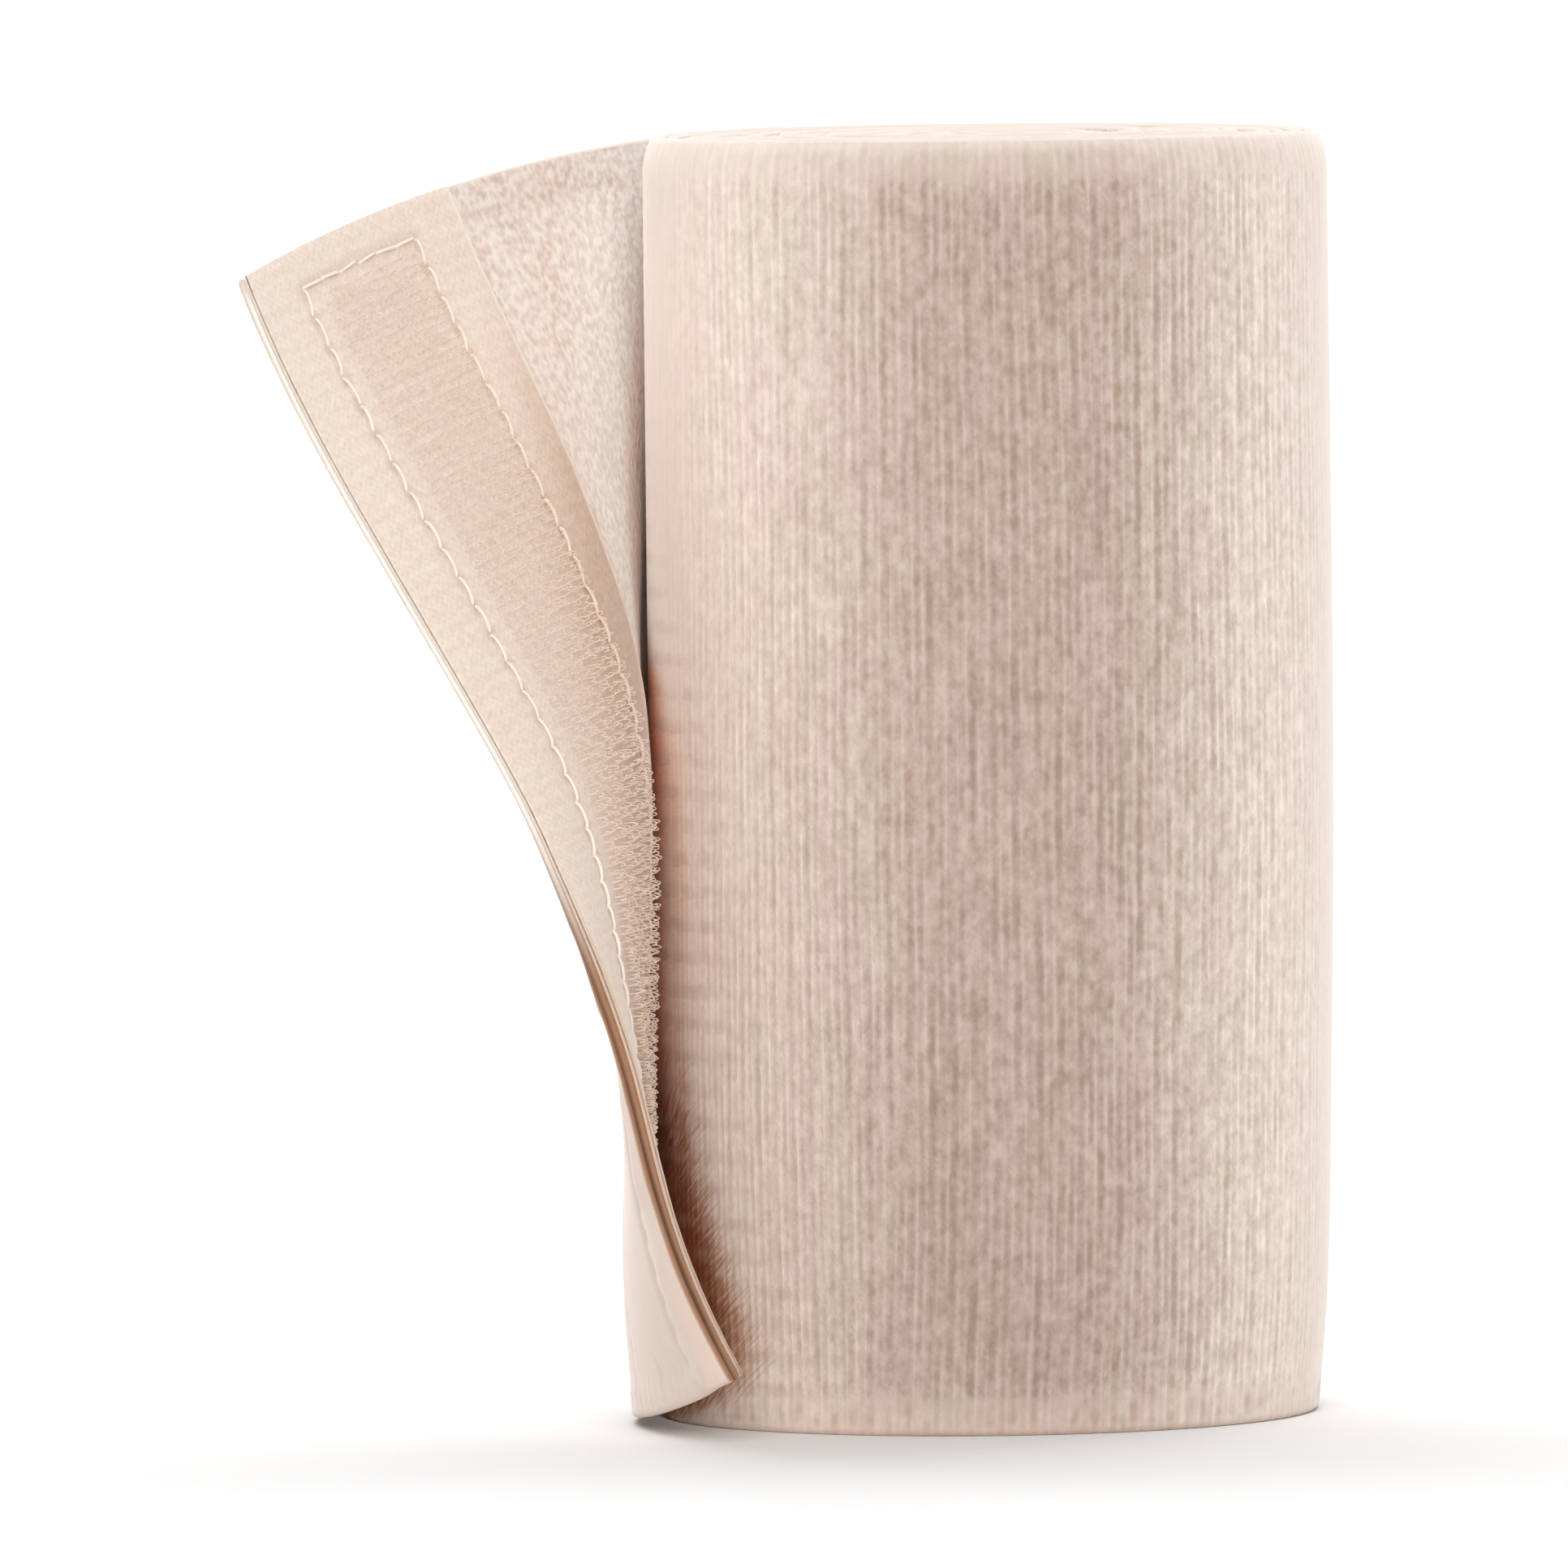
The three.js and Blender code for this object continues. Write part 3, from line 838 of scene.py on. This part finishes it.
def knit_face_and_painted_shade():
    """The knit's outer face.

    Matt cotton loops in upright ribs: a pale, nearly smooth cloth where stretched, and open, uneven grooves
    where shrunk back. That band is painted browner and the grooves darker, as painted shade; rib streaks are
    painted highlights.
    """
    material, tree = new_material("cotton_knit_face")
    place, along, level, depth = strip_place(tree)
    rib_at, open_by, inside = knit_place(tree)
    from_least_pull_and_shade = apart(tree, along, LEAST_PULL_AND_PAINTED_SHADE)
    beside = apart(tree, rib_at, add(tree, "ShaderNodeMath", (rib_at,), operation="ROUND"))
    halfway = add(tree, "ShaderNodeMath", (rib_at, 0.5), operation="ADD")
    half_number = add(tree, "ShaderNodeMath", (halfway,), operation="ROUND")
    threads = patches(tree, (rib_at, 1.3), (level, 0.1), 1.0)
    broken = patches(tree, (half_number, 3.7), (level, 0.14), 2.0)
    steps = soft_steps(
        tree,
        firm_edge=(depth, SELVEDGE + 0.3, SELVEDGE - 0.3),
        # Where the cloth shrank back its pattern is stronger and it is painted browner, as painted shade.
        shrunk=(from_least_pull_and_shade, 27.0, 4.0),
        # Beside the loose end and towards it the fabric is smooth.
        smooth=(from_least_pull_and_shade, 26.0, 36.0),
        flat_end=(along, LOOSE_LENGTH - 28.0, LOOSE_LENGTH - 14.0),
        # Grooves between two ribs, pale threads beside them, and a broken line down the middle of each rib.
        groove=(beside, 0.27, 0.02),
        thread=(apart(tree, beside, 0.27), 0.1, 0.01),
        threads=(threads, -0.1, 0.15),
        half_groove=(apart(tree, halfway, half_number), 0.17, 0.02),
        broken=(broken, -0.15, 0.15),
        firmness=(along, -96.0, -70.0, 0.56, 0.84),
        # Behind, the cloth has half the band's painted shade, the mean of both tones.
        behind=(from_least_pull_and_shade, 38.0, 62.0, 0.0, 0.5),
        # The band's painted shade fades towards the strip's edges.
        towards_edge=(depth, 0.5, 5.0, 0.55, 1.0),
        # Towards the fold the cloth is painted paler, as painted light against the fold's shade.
        least_worn=(along, -110.0, -126.0),
        cut=(along, LOOSE_LENGTH - 0.35, LOOSE_LENGTH - 0.1),
    )
    groove = product(tree, steps.groove, open_by)
    thread = product(tree, steps.thread, steps.threads)
    half_groove = product(tree, steps.half_groove, steps.broken)
    # Two chains of loops make a rib, and the legs of the loops slant towards the middle of each chain.
    across = add(tree, "ShaderNodeMath", (product(tree, rib_at, 2.0), 0.5), operation="PINGPONG")
    rounded = wave(tree, across, 2.0)
    legs = patches(tree, (rib_at, RIB / 0.42), (weighed(tree, level, (across, 0.75)), 1 / 0.3), 1.0)
    # Tufts of fibres, paler and browner loops, and painted highlights in streaks along the ribs. Single yarns
    # are too fine to show.
    fuzz = grain(tree, place, 0.55, 2.5, (1.0, 0.65, 1.0))
    blotch = grain(tree, place, 0.85, 2.0, (1.0, 0.75, 1.0))
    painted_rib_highlights = grain(tree, place, 0.6, 1.5, (1.0, 0.07, 1.0))
    strength = product(
        tree,
        weighed(tree, steps.firmness, (steps.shrunk, 0.4)),
        weighed(tree, 1.0, (steps.firm_edge, -0.5)),
        weighed(tree, 1.0, (steps.smooth, -0.75)),
        weighed(tree, 1.0, (steps.flat_end, -0.5)),
    )
    # In millimetres out of the mesh's own relief.
    lines = ((rounded, 0.025), (groove, -0.04), (half_groove, -0.03), (thread, 0.03))
    height = product(tree, weighed(tree, 0.0, *lines, (legs, 0.08), (fuzz, 0.08)), strength)
    # In the colour the grooves are painted darker as painted shade, and the streaks paler as painted
    # highlights.
    lines = ((groove, 0.8), (half_groove, 0.5), (thread, -0.45), (legs, -0.5))
    dark = weighed(tree, 0.0, *lines, (fuzz, -1.1), (blotch, -2.3), (painted_rib_highlights, -1.3))
    dark = weighed(tree, 0.44, (dark, product(tree, strength, 0.58)))
    # The band at the roll's front, and half of it behind, is painted browner as painted shade.
    browner = add(tree, "ShaderNodeMath", (steps.shrunk, steps.behind), operation="MAXIMUM")
    # Towards the fold the cloth is painted paler, as painted light.
    pale = layered(tree, KNIT_PALE, (steps.least_worn, "#F7EEE8"))
    ground = layered(tree, pale, (product(tree, browner, steps.towards_edge), KNIT_PAINTED_SHADE))
    dashes = patches(tree, (along, 0.7), (level, 0.4), 3.0)
    edges = soft_steps(
        tree,
        cloud=(grain(tree, place, 3.5, 3.0, (1.0, 0.25, 1.0)), -0.15, 0.15),
        top=(level, WIDTH - 1.3, WIDTH - 0.1, 0.0, 0.35),
        dashes=(dashes, -0.1, 0.14, 0.0, 0.42),
        in_groove=(beside, 0.34, 0.05, 0.35, 1.0),
        below=(level, 3.0, 1.8),
        above=(level, 0.4, 1.1),
        foot=(level, 0.7, 0.2, 0.0, 0.4),
        low_cut=(level, 58.0, 34.0),
    )
    cloud = layered(tree, "#FFF9F8", (edges.cloud, "#FDFBF5"))
    grooved = layered(tree, [1.12, 1.11, 1.1, 1.0], (dark, KNIT_GROOVE))
    colour = layered(tree, ground, (1.0, cloud), (1.0, grooved), kind="MULTIPLY")
    colour = layered(
        tree,
        colour,
        # The upper edge is painted paler where it turns over, as painted light from above. Along the lower
        # one the elastic yarns show in dashes, painted only there and darker, partly as painted shade.
        (edges.top, "#F1E8DF"),
        (product(tree, edges.dashes, edges.in_groove, edges.below, edges.above), "#A98468"),
        (edges.foot, "#B8977F"),
        # Towards its free end the fabric is a little warmer.
        (product(tree, steps.flat_end, 0.6), "#DFC9BA"),
    )
    colour, fibres, folded = painted_fold_shade(tree, inside, along, level, colour)
    # Courses of the knit beside the fold are painted darker in lines, as painted shade. The cut end shows the
    # darker elastic yarns, painted dark low down and pale high up as painted shade and light.
    courses = soft_steps(
        tree,
        line=(wave(tree, weighed(tree, level, (fibres, 1.2)), 2 * COURSE), -0.4, 1.0),
        uneven=(grain(tree, place, 2.4, 1.0), -0.2, 0.2, 0.2, 1.0),
        beside=(inside, -7.0, -0.5, 0.0, 0.4),
    )
    yarns = layered(tree, "#FBEDE1", (edges.low_cut, "#96694A"))
    colour = layered(
        tree,
        colour,
        (product(tree, courses.line, courses.uneven, courses.beside), "#B9967E"),
        (product(tree, steps.cut, 0.9), yarns),
    )
    dull = add(tree, "ShaderNodeMath", (folded, steps.cut), operation="MAXIMUM")
    sheen = weighed(tree, 0.7, (dull, -0.7))
    return finished(material, tree, height, Base_Color=colour, Sheen_Weight=sheen, **MATT_COTTON)


def loose_reverse():
    """The knit's inner face: matt cotton, whiter and looser, with small tan openings between the yarns."""
    material, tree = new_material("cotton_knit_reverse")
    place, along, level, depth = strip_place(tree)
    closeness = knit_place(tree)["Z"]
    fuzz = grain(tree, place, 0.5, 2.0, (1.0, 0.6, 1.0))
    steps = soft_steps(
        tree,
        specks=(grain(tree, place, 0.6, 1.0, (1.0, 0.8, 1.0)), -0.25, 0.3),
        patch=(grain(tree, place, 4.0, 2.0, (1.0, 0.5, 1.0)), -0.15, 0.15),
        border=(apart(tree, depth, SELVEDGE), 0.6, 0.05),
        dashes=(wave(tree, along, COURSE), -1.0, 1.0, 0.08, 0.26),
        firm_edge=(depth, SELVEDGE + 0.4, SELVEDGE - 0.4),
        near=(closeness, 0.72, 0.95),
        deep=(closeness, 0.965, 1.0),
        end=(along, LOOSE_LENGTH - 0.6, LOOSE_LENGTH - 0.4),
        low_end=(level, 58.0, 34.0, 0.2, 1.0),
    )
    height = weighed(tree, 0.0, (steps.specks, -0.06), (fuzz, 0.08))
    dark = product(tree, steps.specks, weighed(tree, 0.55, (steps.patch, 0.2)))
    dark = weighed(tree, dark, (steps.firm_edge, 0.12), (fuzz, -0.45), (steps.border, steps.dashes))
    # Beside the roll the fabric is painted paler and cooler, as painted light against the shade there, and
    # where it nearly touches the roll it is painted warmer, as painted warm shade.
    pale = layered(tree, "#EBE0D8", (steps.near, "#F2EEEA"))
    tan = layered(tree, "#C3A693", (steps.near, "#CDBCAF"))
    # At the cut end the tan elastic yarns are painted fully only low down, as painted shade.
    nose = product(tree, steps.end, steps.low_end)
    colour = layered(tree, pale, (dark, tan), (product(tree, steps.deep, 0.4), "#F4D2BC"), (nose, "#B58A6B"))
    dull = add(tree, "ShaderNodeMath", (nose, steps.deep), operation="MAXIMUM")
    sheen = weighed(tree, 0.6, (dull, -0.55))
    return finished(material, tree, height, Base_Color=colour, Sheen_Weight=sheen, **MATT_COTTON)


def woven_nylon():
    """The tape's ground: a fine tan weave with a slight gloss, paler where its edges are heat sealed."""
    material, tree = new_material("woven_nylon_tape")
    place, along, level, _ = strip_place(tree)
    rise = add(tree, "ShaderNodeAttribute", attribute_name="rise").outputs["Fac"]
    closeness = knit_place(tree)["Z"]
    fuzz = grain(tree, place, 0.45, 3.0)
    # The real weave is too fine to show, so it is drawn as a chequer of threads 0.33 mm apart.
    weave = product(tree, wave(tree, along, 0.66), wave(tree, level, 0.66))
    steps = soft_steps(
        tree,
        pulled=(rise, -0.02, -0.2, 0.2, 0.5),
        shaded=(closeness, 0.45, 0.85),
        sealed=(along, TAPE_START + 0.5, TAPE_START + 0.1, 0.0, 0.5),
        beside_roll=(closeness, 0.9, 0.97),
        upper=(level, 50.0, 62.0),
        end=(along, LOOSE_LENGTH - 0.25, LOOSE_LENGTH - 0.12),
        low_end=(level, 58.0, 34.0, 0.1, 0.9),
    )
    height = weighed(tree, 0.0, (fuzz, 0.04), (weave, 0.01))
    rows = wave(tree, level, 1.45)
    # The tape is painted darker in the dents that the stitches pull and towards the roll, as painted shade.
    dark = weighed(tree, steps.pulled, (fuzz, -0.6), (rows, 0.03), (weave, 0.05), (steps.shaded, 0.6))
    colour = layered(
        tree,
        "#EDDED1",
        (dark, "#B9957A"),
        (steps.sealed, "#F1E5D9"),
        # High up beside the roll it is painted paler, as painted light.
        (product(tree, steps.beside_roll, steps.upper), "#FFE6D4"),
        # Its end is painted tan, fully only low down, as painted shade.
        (product(tree, steps.end, steps.low_end), "#CFAF95"),
    )
    gloss = {"Roughness": 0.75, "Specular_IOR_Level": 0.25, "Sheen_Weight": 0.4, "Sheen_Roughness": 0.5}
    return finished(material, tree, height, Base_Color=colour, **gloss)


def smooth_yarn(name, colour, roughness):
    """A plain thread or filament, with a soft edge of light and hardly any gloss."""
    material, tree = new_material(name)
    look = {"Base Color": linear(colour), "Roughness": roughness, "Sheen Weight": 0.3}
    shader = add(tree, "ShaderNodeBsdfPrincipled", look)
    add(tree, "ShaderNodeOutputMaterial", (shader,))
    return material


# The studio


def plain_floor():
    """A floor of matt white paper that sweeps up into a plain wall behind the object, so no edge shows."""
    radius, back, top, side = 0.8, 1.6, 3.0, 4.0
    turn = np.linspace(0, math.pi / 2, 17)
    curve = [(back + radius * math.sin(a), radius - radius * math.cos(a)) for a in turn]
    profile = [(-4.0, 0.0), *curve, (back + radius, top)]
    points = [(x, y, z) for y, z in profile for x in (-side, side)]
    faces = [(2 * i, 2 * i + 1, 2 * i + 3, 2 * i + 2) for i in range(len(profile) - 1)]
    mesh = bpy.data.meshes.new("studio_sweep")
    mesh.from_pydata(points, [], faces)
    mesh.polygons.foreach_set("use_smooth", np.ones(len(faces), bool))
    floor = bpy.data.objects.new("studio_sweep", mesh)
    bpy.context.scene.collection.objects.link(floor)
    material, tree = new_material("white_paper")
    shader = add(tree, "ShaderNodeBsdfDiffuse", {"Color": (0.93, 0.93, 0.93, 1.0)})
    add(tree, "ShaderNodeOutputMaterial", (shader,))
    mesh.materials.append(material)


def soft_light(name, place, target, size, power):
    light = bpy.data.lights.new(name, "AREA")
    light.shape = "RECTANGLE"
    light.size, light.size_y = size
    light.energy = power
    lamp = bpy.data.objects.new(name, light)
    lamp.location = place
    lamp.rotation_euler = (Vector(target) - Vector(place)).to_track_quat("-Z", "Y").to_euler()
    bpy.context.scene.collection.objects.link(lamp)


def round_about(azimuth, elevation, distance):
    """A place round the object, at an azimuth counted from +X and seen from above."""
    a, e = math.radians(azimuth), math.radians(elevation)
    level = distance * math.cos(e)
    return (level * math.cos(a), level * math.sin(a), 0.05 + distance * math.sin(e))


def lit_room():
    world = bpy.data.worlds.new("studio_air")
    world.use_nodes = True
    world.node_tree.nodes["Background"].inputs["Color"].default_value = (1.0, 1.0, 1.0, 1.0)
    world.node_tree.nodes["Background"].inputs["Strength"].default_value = 0.04
    bpy.context.scene.world = world
    centre = (0.0, 0.0, 0.05)
    soft_light("key_above", round_about(265, 30, 1.3), centre, (0.8, 0.9), 7.6)
    soft_light("front", round_about(270, 12, 1.3), centre, (0.8, 0.9), 8.0)
    soft_light("side_right", round_about(0, 12, 1.3), centre, (0.8, 0.9), 3.1)
    soft_light("side_left", round_about(190, 12, 1.3), centre, (0.8, 0.9), 2.8)
    soft_light("overhead", (0.0, 0.3, 1.3), centre, (1.0, 1.0), 4.4)
    soft_light("wall_wash", (0.0, 0.9, 1.6), (0.0, 2.4, 0.4), (2.5, 0.6), 30.0)
    soft_light("floor_wash", (0.0, 0.9, 1.2), (0.0, 0.9, 0.0), (2.6, 1.2), 17.0)


def camera():
    """Level with the roll's middle and 3 degrees above it, 2 m away, as in the reference view."""
    distance, elevation, turned = 2.0, math.radians(3.0), math.radians(0.65)
    frame_width = 0.12442
    axis_right, axis_up = 0.1296 * frame_width, 0.0075 * frame_width
    forward = Vector((0, math.cos(elevation), -math.sin(elevation)))
    right = Vector((1, 0, 0))
    up = right.cross(forward)
    tilted_right = right * math.cos(turned) - up * math.sin(turned)
    tilted_up = right * math.sin(turned) + up * math.cos(turned)
    data = bpy.data.cameras.new("camera")
    data.sensor_width = 36
    data.lens = 36 * distance / frame_width
    data.clip_start, data.clip_end = 0.05, 50
    seen = bpy.data.objects.new("camera", data)
    centre = Vector((0, 0, WIDTH / 2000))
    place = centre - forward * distance - tilted_right * axis_right - tilted_up * axis_up
    turn = Matrix((tilted_right, tilted_up, -forward)).transposed().to_4x4()
    seen.matrix_world = Matrix.Translation(place) @ turn
    bpy.context.scene.collection.objects.link(seen)
    bpy.context.scene.camera = seen


# Assembly

camera()
plain_floor()
lit_room()
bpy.context.scene.view_settings.view_transform = "Standard"

knit_face, knit_reverse = knit_face_and_painted_shade(), loose_reverse()
roll = wound_roll(knit_face, knit_reverse)
flap = loose_flap(knit_face, knit_reverse)
tape = hook_tape_backing(woven_nylon())
canes = hooks(smooth_yarn("nylon_hook_filament", "#E8D2C1", 0.8))
tape_thread, fabric_thread = sewn_thread(smooth_yarn("cream_polyester_thread", "#EFE1D2", 0.7))

for piece, slot in (
    (roll, "knitted_fabric"),
    (flap, "knitted_fabric"),
    (fabric_thread, "knitted_fabric"),
    (tape, "hook_nylon"),
    (canes, "hook_nylon"),
    (tape_thread, "hook_nylon"),
):
    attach(piece, "root")
for piece, node in ((roll, "wound_turns"), (flap, "loose_end"), (tape, "hook_tape")):
    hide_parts(node)
